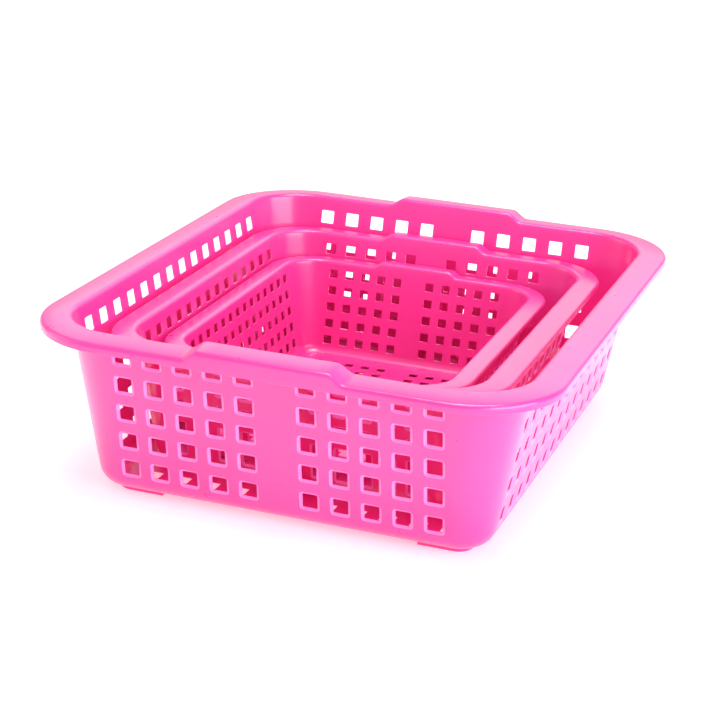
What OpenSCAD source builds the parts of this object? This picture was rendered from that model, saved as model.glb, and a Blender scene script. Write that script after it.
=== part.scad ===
// Three perforated plastic baskets that nest inside one another.
// One moulding design, made in three sizes, with a raised hand grip on both end rims.

/* [Hole grid] */
// Spacing of the holes on the large basket, the same along a row and up a wall
pitch = 16; // [13:0.5:18]
// Width of a square hole on the large basket
hole_w = 8.4; // [6:0.2:10]
// Columns of holes in each half of an end wall and of the floor
end_cols = 5; // [4:1:6]
// Columns of holes in a side wall
side_cols = 14; // [10:1:16]
// Rows of holes up a wall, fewer if they don't all fit below the rim
wall_rows = 5; // [3:1:6]

/* [Walls] */
// Thickness of every wall, floor and rim, on all three sizes
wall_t = 1.2; // [1:0.1:1.6]
// Lean of the walls away from vertical, in degrees
draft = 10.2; // [8:0.2:13]
// Outer radius of the upright corners, measured at the lowest row of holes
corner_r = 20; // [18:0.2:21]
// From the outermost hole's centre to the next wall's outer face, at the lowest row
edge_margin = 26.4; // [25:0.2:30]
// Outer radius between wall and floor
bottom_r = 10.8; // [9:0.2:11]

/* [Heights] */
// Height of the corner feet
foot_h = 3; // [2:0.5:4]
// Height of the lowest row of holes above the table
low_row_z = 17.6; // [17:0.2:19]
// Height of the rim's top face
rim_z = 93; // [75:0.5:112]

/* [Rim] */
// How far the rim reaches out beyond the upright corner's centre line
rim_reach = 48.4; // [47:0.2:52]
// Fall of the rim's flange towards its outer edge, in degrees
rim_droop = 6; // [3:0.5:8]
// Inner radius of the bend from wall to flange
neck_r = 1.5; // [1:0.5:4]
// Inner radius of the bend from flange to lip
lip_r = 1; // [0.5:0.5:2]
// Depth of the rim from its top face to the lip's lower edge
rim_depth = 6; // [5.5:0.5:9]

/* [Hand grips] */
// Length of the raised part of an end rim
grip_len = 74; // [60:1:90]
// Height by which the grip stands above the rim
grip_rise = 4.5; // [3:0.5:6]
// Length of the ramp at each end of a grip
grip_ramp = 8; // [5:0.5:12]

/* [Feet] */
// Length of a foot's straight leg
foot_leg = 18; // [12:1:24]
// Width of a foot's leg
foot_w = 4.5; // [3:0.5:6]

/* [Nest] */
// Size of each basket compared with the one it stands in
nest_ratio = 0.79; // [0.77:0.005:0.8]
// Where the medium basket stands in the large one: 0 is the middle, 1 is against the wall
medium_shift = [-0.62, 0.51]; // [-0.95:0.01:0.95]
// Where the small basket stands in the medium one, counted the same way
small_shift = [-0.72, 0.6]; // [-0.95:0.01:0.95]

/* [Hidden] */

arc_steps = 6;
overcut = 6 * wall_t;
// A grip's own wall stands out from the basket's wall by this much
grip_step = wall_t / 4;
medium_k = nest_ratio;
small_k = nest_ratio * nest_ratio;
// Top of the floor that the next smaller basket stands on
large_floor_z = foot_h + wall_t;
medium_floor_z = large_floor_z + foot_h * medium_k + wall_t;

// Points of an arc around c, from angle a0 to angle a1
function arc(c, r, a0, a1) =
    [for (i = [0 : arc_steps]) let (a = a0 + (a1 - a0) * i / arc_steps) c + r * [cos(a), sin(a)]];

// A length to a whole thousandth, so that neighbouring runs and corners meet exactly
function whole(length) = round(length * 1000) / 1000;

// Half of the straight run of an end wall and of a side wall, at size factor k
function half_end(k) = whole(k * (end_cols * pitch + edge_margin - corner_r));
function half_side(k) = whole(k * ((side_cols - 1) / 2 * pitch + edge_margin - corner_r));

// In the section below, the first coordinate runs outwards from the corner's centre line
// and the second one runs up. The wall's outer face lies at this distance along its normal.
function wall_reach(k) = k * (corner_r * cos(draft) - low_row_z * sin(draft));

// Outer face of the wall, as the outward coordinate at height z
function wall_u(k, z) = (wall_reach(k) + z * sin(draft)) / cos(draft);

// Centre of the bend between floor and wall
function bottom_c(k) =
    let (z = k * (foot_h + bottom_r))
    [wall_u(k, z) - k * bottom_r / cos(draft), z];

// Centre of the bend between wall and flange, with the rim lifted by rise
function neck_c(k, rise) =
    let (z = k * (rim_z + rise - neck_r) - wall_t)
    [wall_u(k, z) + k * neck_r / cos(draft) + (rise > 0 ? grip_step : 0), z];

// Centre of the bend between flange and lip, below the same sloping flange
function lip_c(k, rise) =
    let (
        u = k * (rim_reach - lip_r) - wall_t,
        n = neck_c(k, rise),
        drop = (u - n[0]) * tan(rim_droop) + k * (lip_r - neck_r) / cos(rim_droop)
    )
    [u, n[1] - drop];

// Height of the lip's lower edge
function lip_end_z(k) = k * (rim_z - rim_depth);

// Rows of holes that fit between the lowest row and the bend below the rim
function rows(k) =
    let (room = (k * (rim_z - neck_r - low_row_z) - wall_t) / cos(draft) - k * hole_w / 2)
    min(wall_rows, 1 + floor(room / (k * pitch)));

// Room for a basket of size ki to move each way inside one of size ko, before its rim
// meets the wall
function play(ko, ki) =
    let (
        z = lip_end_z(ki) + ko * foot_h + wall_t,
        gap = wall_u(ko, z) - wall_t / cos(draft) - ki * rim_reach
    )
    [half_end(ko) - half_end(ki) + gap, half_side(ko) - half_side(ki) + gap];

// Centre of a basket of size ki inside one of size ko, for a shift of -1 to 1 each way
function shifted(ko, ki, shift) = [play(ko, ki)[0] * shift[0], play(ko, ki)[1] * shift[1]];

// Upper side of neck, flange and lip (side = wall_t), or their under side (side = 0)
function rim_path(k, rise, side) = concat(
    arc(neck_c(k, rise), k * neck_r + side, 180 - draft, 90 - rim_droop),
    arc(lip_c(k, rise), k * lip_r + side, 90 - rim_droop, 0));

// Section of the whole shell, from the corner's centre line to the lip
module shell_section(k) {
    under = concat(
        [[0, k * foot_h]],
        arc(bottom_c(k), k * bottom_r, -90, -draft),
        rim_path(k, 0, 0),
        [[lip_c(k, 0)[0] + k * lip_r, lip_end_z(k)]]);
    upper = concat(
        [[0, k * foot_h + wall_t]],
        arc(bottom_c(k), k * bottom_r - wall_t, -90, -draft),
        rim_path(k, 0, wall_t),
        [[lip_c(k, 0)[0] + k * lip_r + wall_t, lip_end_z(k)]]);
    polygon(concat(under, [for (i = [len(upper) - 1 : -1 : 0]) upper[i]]));
}

// Everything below the lifted rim's upper side, out from the grip wall's inner face
module grip_outer_section(k) {
    z = lip_end_z(k);
    polygon(concat(
        [[wall_u(k, z) + grip_step - wall_t / cos(draft), z]],
        rim_path(k, grip_rise, wall_t),
        [[lip_c(k, 0)[0] + k * lip_r + wall_t, z]]));
}

// The groove below the lifted rim, between the wall and the lip
module grip_inner_section(k) {
    z = lip_end_z(k) - wall_t;
    polygon(concat(
        [[wall_u(k, z) + grip_step, z]],
        rim_path(k, grip_rise, 0),
        [[lip_c(k, 0)[0] + k * lip_r, z]]));
}

// Outline of a grip seen from outside, with its top face lowered by inset
module grip_outline(k, inset) {
    top = k * (rim_z + grip_rise) - inset;
    low = lip_end_z(k) - 2 * wall_t;
    slope = grip_ramp / grip_rise;
    half_top = k * (grip_len / 2 - grip_ramp / 2) - inset * (sqrt(1 + slope * slope) - slope);
    half_low = half_top + (top - low) * slope;
    polygon([[-half_low, low], [half_low, low], [half_top, top], [-half_top, top]]);
}

// Carries children from the front end to both ends of the basket
module both_ends(k) {
    for (turn = [0, 180]) {
        rotate([0, 0, turn])
            translate([0, -half_side(k), 0])
                children();
    }
}

// A section run along a straight side of length 2 * half, facing +X, reach away from the centre
module straight_run(half, reach) {
    translate([reach, half, 0])
        rotate([90, 0, 0])
            linear_extrude(2 * half)
                children();
}

// The plain shell: floor, walls and rim, before grips and holes
module shell(k) {
    ex = half_end(k);
    ey = half_side(k);
    translate([-ex, -ey, k * foot_h])
        cube([2 * ex, 2 * ey, wall_t]);
    for (turn = [0, 180]) {
        rotate([0, 0, turn])
            straight_run(ey, ex)
                shell_section(k);
        rotate([0, 0, turn + 90])
            straight_run(ex, ey)
                shell_section(k);
        rotate([0, 0, turn])
            translate([ex, ey, 0])
                rotate_extrude(angle = 90, $fn = 64)
                    shell_section(k);
        rotate([0, 0, turn])
            translate([-ex, ey, 0])
                rotate([0, 0, 90])
                    rotate_extrude(angle = 90, $fn = 64)
                        shell_section(k);
    }
}

// A grip section run along the end wall, cut to the grip's outline
module grip_body(k, inset) {
    half = k * (grip_len / 2 + grip_rise + 4 * grip_ramp);
    intersection() {
        rotate([0, 0, -90])
            straight_run(half, 0)
                children();
        rotate([90, 0, 0])
            linear_extrude(k * rim_reach + wall_t)
                grip_outline(k, inset);
    }
}

// Square holes in one wall, whose outer face is reach away from the centre at the lowest row
module wall_holes(k, reach, columns) {
    translate([0, -reach, k * low_row_z])
        rotate([draft, 0, 0])
            for (x = columns, row = [0 : rows(k) - 1]) {
                translate([k * pitch * x, 0, k * pitch * row])
                    cube([k * hole_w, overcut, k * hole_w], center = true);
            }
}

// Square holes in the floor
module floor_holes(k) {
    for (x = end_columns(), y = side_columns()) {
        translate([k * pitch * x, k * pitch * y, k * foot_h])
            cube([k * hole_w, k * hole_w, overcut], center = true);
    }
}

// Column places in pitches: the end walls leave out the middle column
function end_columns() = [for (i = [-end_cols : end_cols]) if (i != 0) i];
function side_columns() = [for (i = [0 : side_cols - 1]) i - (side_cols - 1) / 2];

module all_holes(k) {
    end_reach = half_side(k) + k * corner_r;
    side_reach = half_end(k) + k * corner_r;
    for (turn = [0, 180]) {
        rotate([0, 0, turn])
            wall_holes(k, end_reach, end_columns());
        rotate([0, 0, turn + 90])
            wall_holes(k, side_reach, side_columns());
    }
    floor_holes(k);
}

// Four low feet that follow the floor's corners
module feet(k) {
    ex = half_end(k);
    ey = half_side(k);
    foot_u = bottom_c(k)[0];
    leg = k * foot_leg;
    w = k * foot_w;
    h = k * foot_h;
    for (sx = [0, 1], sy = [0, 1]) {
        mirror([sx, 0, 0])
            mirror([0, sy, 0])
                translate([ex, ey, 0]) {
                    rotate_extrude(angle = 90, $fn = 64)
                        translate([foot_u - w, 0])
                            square([w, h]);
                    translate([-leg, foot_u - w, 0])
                        cube([leg, w, h]);
                    translate([foot_u - w, -leg, 0])
                        cube([w, leg, h]);
                }
    }
}

// One basket at size factor k, standing on the table
module basket(k) {
    difference() {
        union() {
            shell(k);
            both_ends(k)
                grip_body(k, 0)
                    grip_outer_section(k);
            feet(k);
        }
        both_ends(k)
            grip_body(k, wall_t)
                grip_inner_section(k);
        all_holes(k);
    }
}

module large_basket() {
    color([1, 0.36, 0.7])
        basket(1);
}

module medium_basket() {
    at = shifted(1, medium_k, medium_shift);
    color([1, 0.36, 0.7])
        translate([at[0], at[1], large_floor_z])
            basket(medium_k);
}

module small_basket() {
    at = shifted(1, medium_k, medium_shift) + shifted(medium_k, small_k, small_shift);
    color([1, 0.36, 0.7])
        translate([at[0], at[1], medium_floor_z])
            basket(small_k);
}

large_basket();
medium_basket();
small_basket();
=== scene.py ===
from math import cos, pi, radians, sin, tan

import bpy
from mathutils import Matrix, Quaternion, Vector


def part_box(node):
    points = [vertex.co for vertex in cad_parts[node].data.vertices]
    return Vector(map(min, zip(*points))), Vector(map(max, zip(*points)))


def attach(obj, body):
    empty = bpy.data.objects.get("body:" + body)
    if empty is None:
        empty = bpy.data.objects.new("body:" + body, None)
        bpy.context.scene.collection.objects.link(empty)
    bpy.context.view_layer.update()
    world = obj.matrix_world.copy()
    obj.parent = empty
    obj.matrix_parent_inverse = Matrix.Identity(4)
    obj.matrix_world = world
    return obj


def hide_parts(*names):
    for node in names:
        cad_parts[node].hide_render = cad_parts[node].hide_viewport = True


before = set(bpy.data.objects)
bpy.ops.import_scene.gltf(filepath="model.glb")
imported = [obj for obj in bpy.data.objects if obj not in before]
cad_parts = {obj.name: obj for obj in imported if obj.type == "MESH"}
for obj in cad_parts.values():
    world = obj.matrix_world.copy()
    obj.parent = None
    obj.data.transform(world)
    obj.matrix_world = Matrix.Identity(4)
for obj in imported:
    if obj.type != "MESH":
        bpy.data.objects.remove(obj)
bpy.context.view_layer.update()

# Lengths of the large basket, in metres. A smaller basket has them times its size factor,
# apart from the wall, which is equally thick on all three.
WALL = 0.0012

# A hole is HOLE_WIDTH wide at its narrowest and a chamfer wider on each side at the outer
# face. It's set into a square window in the shell.
PITCH = 0.016
HOLE_WIDTH = 0.0078
HOLE_ROUNDING = 0.0005
CHAMFER = 0.0014
# How deep the chamfer goes, as a share of its width
CHAMFER_SLOPE = 0.6
INSIDE_CHAMFER = 0.0002
WINDOW = 0.0112
# Columns of holes, counted in pitches from the middle of a wall
END_COLUMNS = (-5, -4, -3, -2, -1, 1, 2, 3, 4, 5)
SIDE_COLUMNS = tuple(i - 6.5 for i in range(14))
ROWS = 5

DRAFT = radians(10.2)
CORNER_RADIUS = 0.020
EDGE_MARGIN = 0.0264
BOTTOM_RADIUS = 0.0108
FOOT_HEIGHT = 0.003
LOW_ROW_HEIGHT = 0.0176
RIM_HEIGHT = 0.093
RIM_REACH = 0.0484
RIM_DROOP = radians(6)
NECK_RADIUS = 0.0015
LIP_RADIUS = 0.001
RIM_DEPTH = 0.006

GRIP_LENGTH = 0.074
GRIP_RISE = 0.0045
GRIP_RAMP = 0.008
# Share of a ramp's rise that is a straight slope, with the rest an S-curve
RAMP_STRAIGHT = 0.35
FOOT_LEG = 0.018
FOOT_WIDTH = 0.0045
FOOT_BEVEL = 0.0005

# Every basket is this much of the size of the one that it stands in
NEST_RATIO = 0.79
SIZES = {"large": 1.0, "medium": NEST_RATIO, "small": NEST_RATIO * NEST_RATIO}

# Steps of the rounded parts
CORNER_STEPS = 16
BOTTOM_STEPS = 6
NECK_STEPS = 7
LIP_STEPS = 6
EDGE_STEPS = 8
RAMP_STEPS = 8

# Points of a hole's frame: rings from the outer skin to the inner one, and round each
# ring three points at each of the four corners, with the first one repeated at the end
HOLE_RINGS = 6
HOLE_POINTS = 13
# The faces between the second ring and the third, counted from 0
CHAMFER_RING = 1

# Corners of a shell count as one if they share a place on a grid this fine, in steps a metre
CORNER_GRID = 1e7
# A ramp's line closer than this to a window's line is left out
LINE_GAP = 1e-5
# Points closer than this are joined, in one hole and then between the holes and the shell
HOLE_JOIN = 1e-6
SEAM_JOIN = 2e-6
# Edges that turn more than this stay sharp in the shading
SHARP_ANGLE = radians(25)


# ---- Section of a basket's shell: out from the corner's centre line, and up ----

def arc(centre, radius, start, end, steps):
    angles = [start + (end - start) * i / steps for i in range(steps + 1)]
    return [(centre[0] + radius * cos(a), centre[1] + radius * sin(a)) for a in angles]


def wall_point(k, up_slope, depth=0.0):
    """A point up the wall's slope from the lowest row, at a depth inside its outer face."""
    return (
        k * CORNER_RADIUS + up_slope * sin(DRAFT) - depth * cos(DRAFT),
        k * LOW_ROW_HEIGHT + up_slope * cos(DRAFT) + depth * sin(DRAFT),
    )


def wall_out(k, height):
    """How far out the wall's outer face is at a height."""
    return k * CORNER_RADIUS + (height - k * LOW_ROW_HEIGHT) * tan(DRAFT)


def bottom_centre(k):
    height = k * (FOOT_HEIGHT + BOTTOM_RADIUS)
    return wall_out(k, height) - k * BOTTOM_RADIUS / cos(DRAFT), height


def neck_centre(k, rise):
    height = k * (RIM_HEIGHT + rise - NECK_RADIUS) - WALL
    return wall_out(k, height) + k * NECK_RADIUS / cos(DRAFT), height


def lip_centre(k, rise):
    out = k * (RIM_REACH - LIP_RADIUS) - WALL
    neck = neck_centre(k, rise)
    fall = (out - neck[0]) * tan(RIM_DROOP) + k * (LIP_RADIUS - NECK_RADIUS) / cos(RIM_DROOP)
    return out, neck[1] - fall


def row_lines(k):
    """Heights up the slope of the lower and upper edge of every row's windows."""
    return [k * (row * PITCH + side * WINDOW / 2) for row in range(ROWS) for side in (-1, 1)]


def wall_section(k, depth):
    """From the floor's edge round the bottom bend and up past every row of windows."""
    bend = arc(bottom_centre(k), k * BOTTOM_RADIUS - depth, -pi / 2, -DRAFT, BOTTOM_STEPS)
    floor = [(0.0, k * FOOT_HEIGHT + depth)]
    return floor + bend + [wall_point(k, s, depth) for s in row_lines(k)]


def rim_side(k, rise, side):
    """Neck, flange and lip, on the under side (side 0) or the upper side (side WALL)."""
    flat = pi / 2 - RIM_DROOP
    neck = arc(neck_centre(k, rise), k * NECK_RADIUS + side, pi - DRAFT, flat, NECK_STEPS)
    lip = arc(lip_centre(k, rise), k * LIP_RADIUS + side, flat, 0, LIP_STEPS)
    return neck + lip


def rim_section(k, rise):
    """From the wall's outer face out over the rim's under side, round the lip's rounded
    edge and back over the upper side to the wall's inner face."""
    neck_height = neck_centre(k, 0)[1] + k * NECK_RADIUS * sin(DRAFT)
    neck_start = (neck_height - k * LOW_ROW_HEIGHT) / cos(DRAFT)
    start = (row_lines(k)[-1] + neck_start) / 2
    edge = (
        lip_centre(k, 0)[0] + k * LIP_RADIUS + WALL / 2,
        k * (RIM_HEIGHT - RIM_DEPTH) + WALL / 2)
    under = [wall_point(k, start)] + rim_side(k, rise, 0.0)
    upper = [wall_point(k, start, WALL)] + rim_side(k, rise, WALL)
    return under + arc(edge, WALL / 2, -pi, 0, EDGE_STEPS) + upper[::-1]


# ---- Plan of a basket: four straight sides and four corners, counter-clockwise ----

def half_lengths(k):
    """Half of the straight run of an end wall and of a side wall."""
    return (
        k * (END_COLUMNS[-1] * PITCH + EDGE_MARGIN - CORNER_RADIUS),
        k * (SIDE_COLUMNS[-1] * PITCH + EDGE_MARGIN - CORNER_RADIUS),
    )


def grip_rise_at(k, along):
    """Lift of an end rim, with ramps that start and end softly."""
    share = (k * (GRIP_LENGTH + GRIP_RAMP) / 2 - abs(along)) / (k * GRIP_RAMP)
    share = min(1.0, max(0.0, share))
    curve = share * share * (3 - 2 * share)
    return GRIP_RISE * (RAMP_STRAIGHT * share + (1 - RAMP_STRAIGHT) * curve)


def column_lines(k, columns, half):
    """Lines along a side at its ends and at both edges of every window, and for each
    interval whether it's a column of windows."""
    edges = [k * (c * PITCH + side * WINDOW / 2) for c in columns for side in (-1, 1)]
    lines = [-half] + edges + [half]
    return lines, [i % 2 == 1 for i in range(len(lines) - 1)]


def with_ramps(k, lines):
    """The lines of an end wall with the extra ones that the grip's ramps need."""
    start = k * (GRIP_LENGTH - GRIP_RAMP) / 2
    ramp = [start + k * GRIP_RAMP * i / RAMP_STEPS for i in range(RAMP_STEPS + 1)]
    extra = [side * t for t in ramp for side in (-1, 1)]
    clear = {t for t in extra if min(abs(t - line) for line in lines) > LINE_GAP}
    return sorted(set(lines) | clear)


class Shell:
    """Collects the corners and faces of one basket. Corners in the same place are one."""

    def __init__(self, centre, lowest):
        self.centre = centre
        self.lowest = lowest
        self.corners = []
        self.numbers = {}
        self.faces = []
        self.openings = []

    def corner(self, point):
        key = tuple(round(c * CORNER_GRID) for c in point)
        if key not in self.numbers:
            self.numbers[key] = len(self.corners)
            x, y, z = point
            self.corners.append((x + self.centre[0], y + self.centre[1], z + self.lowest))
        return self.numbers[key]

    def face(self, points, opening=0, along=(1, 0, 0), outward=(0, 0, 1)):
        numbers = [self.corner(p) for p in points]
        loop = [n for i, n in enumerate(numbers) if n != numbers[i - 1]]
        if len(loop) >= 3:
            self.faces.append(loop)
            self.openings.append((opening, along, outward))

    def band(self, first, second, marks=None):
        """Faces between two sections of equal length."""
        for i in range(len(first) - 1):
            mark = marks(i) if marks else {}
            self.face((first[i], second[i], second[i + 1], first[i + 1]), **mark)

    def mesh(self, name):
        mesh = bpy.data.meshes.new(name)
        mesh.from_pydata(self.corners, [], self.faces)
        kinds = mesh.attributes.new("opening", "INT", "FACE")
        along = mesh.attributes.new("along", "FLOAT_VECTOR", "FACE")
        outward = mesh.attributes.new("outward", "FLOAT_VECTOR", "FACE")
        kinds.data.foreach_set("value", [o[0] for o in self.openings])
        along.data.foreach_set("vector", [c for o in self.openings for c in o[1]])
        outward.data.foreach_set("vector", [c for o in self.openings for c in o[2]])
        mesh.polygons.foreach_set("use_smooth", [True] * len(mesh.polygons))
        return mesh


def placed(base, direction, section):
    return [(base[0] + direction[0] * u, base[1] + direction[1] * u, z) for u, z in section]


def add_side(shell, k, turn, reach, half, columns, is_end):
    """One straight wall with its rim. turn is the outward direction, in quarter turns."""
    out = (round(cos(turn * pi / 2)), round(sin(turn * pi / 2)))
    way = (-out[1], out[0])
    lines, is_column = column_lines(k, columns, half)
    rim_lines = with_ramps(k, lines) if is_end else lines
    bend = BOTTOM_STEPS + 1
    outward = (out[0] * cos(DRAFT), out[1] * cos(DRAFT), -sin(DRAFT))

    def base(t):
        return (out[0] * reach + way[0] * t, out[1] * reach + way[1] * t)

    def rim_at(t):
        return placed(base(t), out, rim_section(k, grip_rise_at(k, t) if is_end else 0.0))

    def marks(opening, column):
        def mark(i):
            in_row = i > bend and (i - bend) % 2 == 1
            kind = opening if in_row and column else 0
            return dict(opening=kind, along=(way[0], way[1], 0), outward=outward)
        return mark

    outer, inner = wall_section(k, 0.0), wall_section(k, WALL)
    for t0, t1, column in zip(lines, lines[1:], is_column):
        shell.band(placed(base(t0), out, outer), placed(base(t1), out, outer), marks(1, column))
        shell.band(placed(base(t1), out, inner), placed(base(t0), out, inner), marks(2, column))
        between = [t for t in rim_lines if t0 - 1e-9 <= t <= t1 + 1e-9]
        rims = [rim_at(t) for t in between]
        low = [placed(base(t), out, outer)[-1] for t in (t0, t1)]
        high = [placed(base(t), out, inner)[-1] for t in (t0, t1)]
        shell.face(low + [r[0] for r in rims[::-1]])
        shell.face([r[-1] for r in rims] + high[::-1])
        for first, second in zip(rims, rims[1:]):
            shell.band(first, second)


def add_corner(shell, k, turn, centre):
    """A corner from the side that faces turn quarter turns to the next one."""
    whole = wall_section(k, 0.0) + rim_section(k, 0.0) + wall_section(k, WALL)[::-1]
    angles = [(turn + i / CORNER_STEPS) * pi / 2 for i in range(CORNER_STEPS + 1)]
    sections = [placed(centre, (cos(a), sin(a)), whole) for a in angles]
    for first, second in zip(sections, sections[1:]):
        shell.band(first, second)


def add_floor(shell, k, half_end, half_side):
    xs, x_column = column_lines(k, END_COLUMNS, half_end)
    ys, y_column = column_lines(k, SIDE_COLUMNS, half_side)
    low, top = k * FOOT_HEIGHT, k * FOOT_HEIGHT + WALL
    for x0, x1, x_is in zip(xs, xs[1:], x_column):
        for y0, y1, y_is in zip(ys, ys[1:], y_column):
            plan = [(x0, y0), (x0, y1), (x1, y1), (x1, y0)]
            hole = x_is and y_is
            shell.face([(x, y, low) for x, y in plan], 1 if hole else 0, (1, 0, 0), (0, 0, -1))
            shell.face([(x, y, top) for x, y in plan[::-1]], 2 if hole else 0)


def add_foot(shell, k, turn, centre):
    """A low L-shaped foot that follows a corner of the floor and sits a little inside it."""
    out = bottom_centre(k)[0]
    inside, soft, top = out - k * FOOT_WIDTH, k * FOOT_BEVEL, k * FOOT_HEIGHT + WALL / 3
    loop = [
        (inside, top), (inside, soft), (inside + soft, 0.0),
        (out - soft, 0.0), (out, soft), (out, top)]
    first, last = turn * pi / 2, (turn + 1) * pi / 2
    stations = [(
        (centre[0] + k * FOOT_LEG * sin(first), centre[1] - k * FOOT_LEG * cos(first)), first)]
    stations += [
        (centre, first + (last - first) * i / CORNER_STEPS) for i in range(CORNER_STEPS + 1)]
    stations.append((
        (centre[0] - k * FOOT_LEG * sin(last), centre[1] + k * FOOT_LEG * cos(last)), last))
    rings = [placed(base, (cos(a), sin(a)), loop) for base, a in stations]
    for ring, following in zip(rings, rings[1:]):
        shell.band(ring + ring[:1], following + following[:1])
    shell.face(rings[0])
    shell.face(rings[-1][::-1])


def basket_shell(k, centre, lowest, name):
    """Walls, floor, rim, grips and feet, with a marked face wherever a hole goes."""
    half_end, half_side = half_lengths(k)
    shell = Shell(centre, lowest)
    corners = (
        (half_end, half_side), (-half_end, half_side),
        (-half_end, -half_side), (half_end, -half_side))
    for turn in range(4):
        if turn % 2 == 0:
            add_side(shell, k, turn, half_end, half_side, SIDE_COLUMNS, False)
        else:
            add_side(shell, k, turn, half_side, half_end, END_COLUMNS, True)
        add_corner(shell, k, turn, corners[turn])
        add_foot(shell, k, turn, corners[turn])
    add_floor(shell, k, half_end, half_side)
    return shell.mesh(name)


# ---- Square holes, set into every marked face ----

def hole_tree():
    """Geometry nodes that put one small frame of faces, from outer skin to inner skin, in
    place of every marked face. The frame is a grid of rings: a ring for each edge of the
    hole's profile, and three points round each of its four corners."""
    tree = bpy.data.node_groups.new("square holes", "GeometryNodeTree")
    sockets = tree.interface
    sockets.new_socket("Shell", in_out="INPUT", socket_type="NodeSocketGeometry")
    lengths = (
        "Window", "Hole Width", "Corner Rounding", "Chamfer", "Inside Chamfer",
        "Wall Thickness")
    for label in lengths:
        sockets.new_socket(label, in_out="INPUT", socket_type="NodeSocketFloat")
    sockets.new_socket("Plastic", in_out="INPUT", socket_type="NodeSocketMaterial")
    sockets.new_socket("Basket", in_out="OUTPUT", socket_type="NodeSocketGeometry")

    def node(kind, x, y, **settings):
        made = tree.nodes.new(kind)
        made.location = (x, y)
        for key, value in settings.items():
            setattr(made, key, value)
        return made

    def link(source, target):
        tree.links.new(source, target)

    def maths(operation, x, y, first, second=0):
        made = node("ShaderNodeMath", x, y, operation=operation)
        for socket, value in zip(made.inputs, (first, second)):
            if isinstance(value, (int, float)):
                socket.default_value = value
            else:
                link(value, socket)
        return made.outputs[0]

    def vector_maths(operation, x, y, first, second=None, scale=None):
        made = node("ShaderNodeVectorMath", x, y, operation=operation)
        link(first, made.inputs[0])
        if second is not None:
            link(second, made.inputs[1])
        if scale is not None:
            link(scale, made.inputs["Scale"])
        return made.outputs[0]

    def part_of(number, size, x, y):
        """Which run of that size an index number falls in, counted from 0."""
        share = maths("DIVIDE", x - 150, y, maths("ADD", x - 300, y, number, 0.5), size)
        return maths("FLOOR", x, y, share)

    given = node("NodeGroupInput", -1800, 0).outputs

    # Which ring a point is on, and its angle round the hole
    grid = node("GeometryNodeMeshGrid", -1500, 500)
    grid.inputs["Vertices X"].default_value = HOLE_RINGS
    grid.inputs["Vertices Y"].default_value = HOLE_POINTS
    index = node("GeometryNodeInputIndex", -1800, 600).outputs[0]
    ring = part_of(index, HOLE_POINTS, -1400, 700)
    place = maths("MODULO", -1400, 900, index, HOLE_POINTS)
    place = maths("MODULO", -1200, 900, place, HOLE_POINTS - 1)
    quarter = part_of(place, 3, -1000, 1000)
    step = maths("MODULO", -1000, 850, place, 3)
    corner_angle = maths("MULTIPLY", -800, 1000, quarter, pi / 2)
    angle = maths("ADD", -600, 900, corner_angle, maths("MULTIPLY", -800, 850, step, pi / 4))
    diagonal = maths("ADD", -600, 1050, corner_angle, pi / 4)

    def unit(turn, x, y):
        joined = node("ShaderNodeCombineXYZ", x, y)
        link(maths("COSINE", x - 150, y + 50, turn), joined.inputs[0])
        link(maths("SINE", x - 150, y - 50, turn), joined.inputs[1])
        return joined.outputs[0]

    # Half width, rounding and depth of every ring
    half_hole = maths("MULTIPLY", -1600, 200, given["Hole Width"], 0.5)
    half_window = maths("MULTIPLY", -1600, 350, given["Window"], 0.5)
    wide = maths("ADD", -1400, 200, half_hole, given["Chamfer"])
    wide_inside = maths("ADD", -1400, 50, half_hole, given["Inside Chamfer"])
    soft = given["Corner Rounding"]
    soft_wide = maths("ADD", -1400, -100, soft, given["Chamfer"])
    soft_inside = maths("ADD", -1400, -250, soft, given["Inside Chamfer"])
    back = maths("MULTIPLY", -1400, -400, given["Wall Thickness"], -1)
    chamfer_end = maths("MULTIPLY", -1400, -550, given["Chamfer"], -CHAMFER_SLOPE)
    inside_start = maths("ADD", -1400, -700, back, given["Inside Chamfer"])

    def by_ring(values, x, y):
        switch = node("GeometryNodeIndexSwitch", x, y, data_type="FLOAT")
        while len(switch.index_switch_items) < HOLE_RINGS:
            switch.index_switch_items.new()
        link(ring, switch.inputs["Index"])
        for socket, value in zip(switch.inputs[1:], values):
            if isinstance(value, (int, float)):
                socket.default_value = value
            else:
                link(value, socket)
        return switch.outputs[0]

    half = by_ring((half_window, wide, half_hole, half_hole, wide_inside, half_window), -1100, 300)
    rounding = by_ring((0.0, soft_wide, soft, soft, soft_inside, 0.0), -1100, 0)
    depth = by_ring((0.0, 0.0, chamfer_end, inside_start, back, back), -1100, -400)

    to_corner = maths("MULTIPLY", -700, 500, maths("SUBTRACT", -850, 500, half, rounding), 2 ** 0.5)
    flat = vector_maths(
        "ADD", -200, 600,
        vector_maths("SCALE", -350, 700, unit(diagonal, -450, 1000), scale=to_corner),
        vector_maths("SCALE", -350, 550, unit(angle, -450, 800), scale=rounding))
    down = node("ShaderNodeCombineXYZ", -350, 350)
    link(depth, down.inputs[2])
    shaped = node("GeometryNodeSetPosition", 0, 500)
    link(grid.outputs["Mesh"], shaped.inputs["Geometry"])
    link(vector_maths("ADD", -100, 400, flat, down.outputs[0]), shaped.inputs["Position"])
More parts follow.
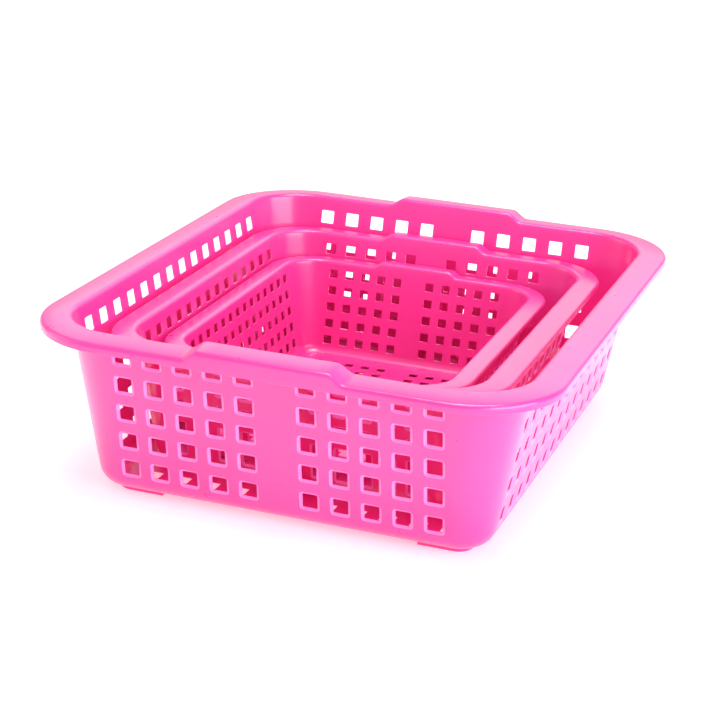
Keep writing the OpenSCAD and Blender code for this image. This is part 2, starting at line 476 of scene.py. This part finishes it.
    # The ring of faces that makes the chamfer is marked, so that the material paints it paler as a
    # painted highlight on the chamfer
    face_ring = part_of(index, HOLE_POINTS - 1, -100, 200)
    marked = node("GeometryNodeStoreNamedAttribute", 50, 400, data_type="FLOAT", domain="FACE")
    marked.inputs["Name"].default_value = "painted_chamfer_highlight"
    link(shaped.outputs[0], marked.inputs["Geometry"])
    link(maths("COMPARE", 0, 200, face_ring, CHAMFER_RING), marked.inputs["Value"])
    facing_out = node("GeometryNodeFlipFaces", 100, 600)
    link(marked.outputs[0], facing_out.inputs[0])
    one_hole = node("GeometryNodeMergeByDistance", 150, 500)
    one_hole.inputs["Distance"].default_value = HOLE_JOIN
    link(facing_out.outputs[0], one_hole.inputs["Geometry"])

    # One hole on every marked face of the outer skin, square to it and in line with its row
    def named(label, kind, x, y):
        made = node("GeometryNodeInputNamedAttribute", x, y, data_type=kind)
        made.inputs["Name"].default_value = label
        return made.outputs[0]

    def compare(operation, x, y, value, limit):
        made = node("FunctionNodeCompare", x, y, data_type="INT", operation=operation)
        first, second = [socket for socket in made.inputs if socket.enabled]
        link(value, first)
        second.default_value = limit
        return made.outputs[0]

    opening = named("opening", "INT", -600, -600)
    points = node("GeometryNodeMeshToPoints", -200, -200, mode="FACES")
    link(given["Shell"], points.inputs["Mesh"])
    link(compare("EQUAL", -400, -500, opening, 1), points.inputs["Selection"])
    square = node("FunctionNodeAlignRotationToVector", -200, -500, axis="Z")
    link(named("outward", "FLOAT_VECTOR", -400, -700), square.inputs["Vector"])
    in_line = node("FunctionNodeAlignRotationToVector", 0, -500, axis="X", pivot_axis="Z")
    link(square.outputs[0], in_line.inputs["Rotation"])
    link(named("along", "FLOAT_VECTOR", -200, -700), in_line.inputs["Vector"])
    holes = node("GeometryNodeInstanceOnPoints", 300, 0)
    link(points.outputs[0], holes.inputs["Points"])
    link(one_hole.outputs[0], holes.inputs["Instance"])
    link(in_line.outputs[0], holes.inputs["Rotation"])

    open_shell = node("GeometryNodeDeleteGeometry", 300, -300, domain="FACE", mode="ALL")
    link(given["Shell"], open_shell.inputs["Geometry"])
    link(compare("GREATER_THAN", 100, -400, opening, 0), open_shell.inputs["Selection"])
    both = node("GeometryNodeJoinGeometry", 500, 0)
    link(holes.outputs[0], both.inputs[0])
    link(open_shell.outputs[0], both.inputs[0])
    real = node("GeometryNodeRealizeInstances", 700, 0)
    link(both.outputs[0], real.inputs[0])
    closed = node("GeometryNodeMergeByDistance", 900, 0)
    closed.inputs["Distance"].default_value = SEAM_JOIN
    link(real.outputs[0], closed.inputs["Geometry"])
    finish = node("GeometryNodeSetMaterial", 1100, 0)
    link(closed.outputs[0], finish.inputs["Geometry"])
    link(given["Plastic"], finish.inputs["Material"])
    result = node("NodeGroupOutput", 1300, 0)
    link(finish.outputs[0], result.inputs[0])
    return tree


def perforated(name, shell_mesh, k, tree, plastic):
    """The finished basket as a plain mesh."""
    blank = bpy.data.objects.new(name + "_blank", shell_mesh)
    bpy.context.scene.collection.objects.link(blank)
    holes = blank.modifiers.new("holes", "NODES")
    holes.node_group = tree
    values = {
        "Window": k * WINDOW,
        "Hole Width": k * HOLE_WIDTH,
        "Corner Rounding": k * HOLE_ROUNDING,
        "Chamfer": k * CHAMFER,
        "Inside Chamfer": k * INSIDE_CHAMFER,
        "Wall Thickness": WALL,
        "Plastic": plastic,
    }
    for socket in tree.interface.items_tree:
        if socket.name in values:
            holes[socket.identifier] = values[socket.name]
    evaluated = blank.evaluated_get(bpy.context.evaluated_depsgraph_get())
    mesh = bpy.data.meshes.new_from_object(evaluated)
    bpy.data.objects.remove(blank)
    bpy.data.meshes.remove(shell_mesh)
    for label in ("opening", "along", "outward"):
        mesh.attributes.remove(mesh.attributes[label])
    mesh.name = name
    mesh.polygons.foreach_set("use_smooth", [True] * len(mesh.polygons))
    mesh.set_sharp_from_angle(angle=SHARP_ANGLE)
    piece = bpy.data.objects.new(name, mesh)
    bpy.context.scene.collection.objects.link(piece)
    return piece


# ---- Materials ----

def pink_plastic():
    """Moulded, semi-gloss, slightly translucent pink: faint clouds in its colour where the melt
    flowed, chamfers painted paler as a painted highlight, and a very fine uneven skin."""
    plastic = bpy.data.materials.new("pink_plastic")
    plastic.use_nodes = True
    nodes, links = plastic.node_tree.nodes, plastic.node_tree.links
    shader = nodes["Principled BSDF"]
    place = nodes.new("ShaderNodeTexCoord")

    def noise(scale, detail):
        made = nodes.new("ShaderNodeTexNoise")
        made.inputs["Scale"].default_value = scale
        made.inputs["Detail"].default_value = detail
        links.new(place.outputs["Object"], made.inputs["Vector"])
        return made.outputs["Fac"]

    clouds = nodes.new("ShaderNodeValToRGB")
    clouds.color_ramp.elements[0].position = 0.3
    clouds.color_ramp.elements[0].color = (0.92, 0.033, 0.300, 1)
    clouds.color_ramp.elements[1].position = 0.7
    clouds.color_ramp.elements[1].color = (0.97, 0.044, 0.345, 1)
    links.new(noise(14, 3), clouds.inputs["Fac"])
    # Painted highlight: the marked chamfer faces of the holes get a paler pink, as if lit
    painted_chamfer_highlight = nodes.new("ShaderNodeAttribute")
    painted_chamfer_highlight.attribute_name = "painted_chamfer_highlight"
    colour = nodes.new("ShaderNodeMix")
    colour.data_type = "RGBA"
    factor, plain, painted_highlight_colour = [socket for socket in colour.inputs if socket.enabled]
    mixed, = [socket for socket in colour.outputs if socket.enabled]
    painted_highlight_colour.default_value = (0.98, 0.20, 0.58, 1)
    links.new(painted_chamfer_highlight.outputs["Fac"], factor)
    links.new(clouds.outputs["Color"], plain)
    links.new(mixed, shader.inputs["Base Color"])

    gloss = nodes.new("ShaderNodeMapRange")
    gloss.inputs["To Min"].default_value = 0.24
    gloss.inputs["To Max"].default_value = 0.36
    links.new(noise(60, 4), gloss.inputs["Value"])
    links.new(gloss.outputs["Result"], shader.inputs["Roughness"])

    skin = nodes.new("ShaderNodeBump")
    skin.inputs["Strength"].default_value = 0.12
    skin.inputs["Distance"].default_value = 0.0002
    links.new(noise(700, 2), skin.inputs["Height"])
    links.new(skin.outputs["Normal"], shader.inputs["Normal"])

    shader.inputs["IOR"].default_value = 1.5
    shader.inputs["Specular IOR Level"].default_value = 0.65
    shader.inputs["Coat Weight"].default_value = 0.5
    shader.inputs["Coat Roughness"].default_value = 0.18
    shader.inputs["Subsurface Weight"].default_value = 0.35
    shader.inputs["Subsurface Radius"].default_value = (1.0, 0.25, 0.6)
    shader.inputs["Subsurface Scale"].default_value = 0.006
    return plastic


def pale_floor():
    paint = bpy.data.materials.new("pale_floor")
    paint.use_nodes = True
    shader = paint.node_tree.nodes["Principled BSDF"]
    shader.inputs["Base Color"].default_value = (0.9, 0.9, 0.9, 1)
    shader.inputs["Roughness"].default_value = 0.9
    shader.inputs["Specular IOR Level"].default_value = 0.1
    shader.inputs["Emission Color"].default_value = (1, 1, 1, 1)
    shader.inputs["Emission Strength"].default_value = 0.40
    return paint


# ---- Studio ----

def stage_floor():
    mesh = bpy.data.meshes.new("floor")
    reach = 6
    corners = [(-reach, -reach, 0), (reach, -reach, 0), (reach, reach, 0), (-reach, reach, 0)]
    mesh.from_pydata(corners, [], [(0, 1, 2, 3)])
    floor = bpy.data.objects.new("floor", mesh)
    floor.data.materials.append(pale_floor())
    bpy.context.scene.collection.objects.link(floor)


def soft_box(name, place, aim, width, height, power):
    lamp = bpy.data.lights.new(name, "AREA")
    lamp.shape = "RECTANGLE"
    lamp.size = width
    lamp.size_y = height
    lamp.energy = power
    holder = bpy.data.objects.new(name, lamp)
    holder.location = place
    holder.rotation_euler = (Vector(aim) - Vector(place)).to_track_quat("-Z", "Y").to_euler()
    bpy.context.scene.collection.objects.link(holder)


def studio_light():
    world = bpy.data.worlds.new("studio")
    world.use_nodes = True
    world.node_tree.nodes["Background"].inputs["Color"].default_value = (1, 1, 1, 1)
    world.node_tree.nodes["Background"].inputs["Strength"].default_value = 0.55
    bpy.context.scene.world = world
    middle = (0, 0, 0.05)
    soft_box("right_box", (1.4, -0.62, 0.45), middle, 1.5, 0.9, 22)
    soft_box("left_box", (-1.6, -0.4, 0.7), middle, 1.0, 1.0, 4)
    soft_box("back_box", (-0.3, 2.0, 1.1), middle, 2.4, 1.0, 8)
    soft_box("top_box", (0.1, -0.1, 1.6), middle, 0.9, 0.9, 18)


def studio_camera():
    lens = bpy.data.cameras.new("camera")
    lens.sensor_width = 36
    lens.lens = 98.72
    camera = bpy.data.objects.new("camera", lens)
    azimuth, elevation, roll = radians(19.22), radians(19.77), radians(2.44)
    look = Vector((-sin(azimuth) * cos(elevation), cos(azimuth) * cos(elevation), -sin(elevation)))
    camera.location = (0.3217, -0.9468, 0.4071)
    camera.rotation_mode = "QUATERNION"
    camera.rotation_quaternion = look.to_track_quat("-Z", "Y") @ Quaternion((0, 0, 1), roll)
    bpy.context.scene.collection.objects.link(camera)
    bpy.context.scene.camera = camera


studio_camera()
studio_light()
stage_floor()
bpy.context.scene.view_settings.view_transform = "Standard"

plastic = pink_plastic()
holes = hole_tree()
for size, k in SIZES.items():
    low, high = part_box(size + "_basket")
    middle = (low + high) / 2
    blank = basket_shell(k, (middle.x, middle.y), low.z, size + "_shell")
    basket = perforated(size + "_perforated_basket", blank, k, holes, plastic)
    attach(basket, size)
    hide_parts(size + "_basket")
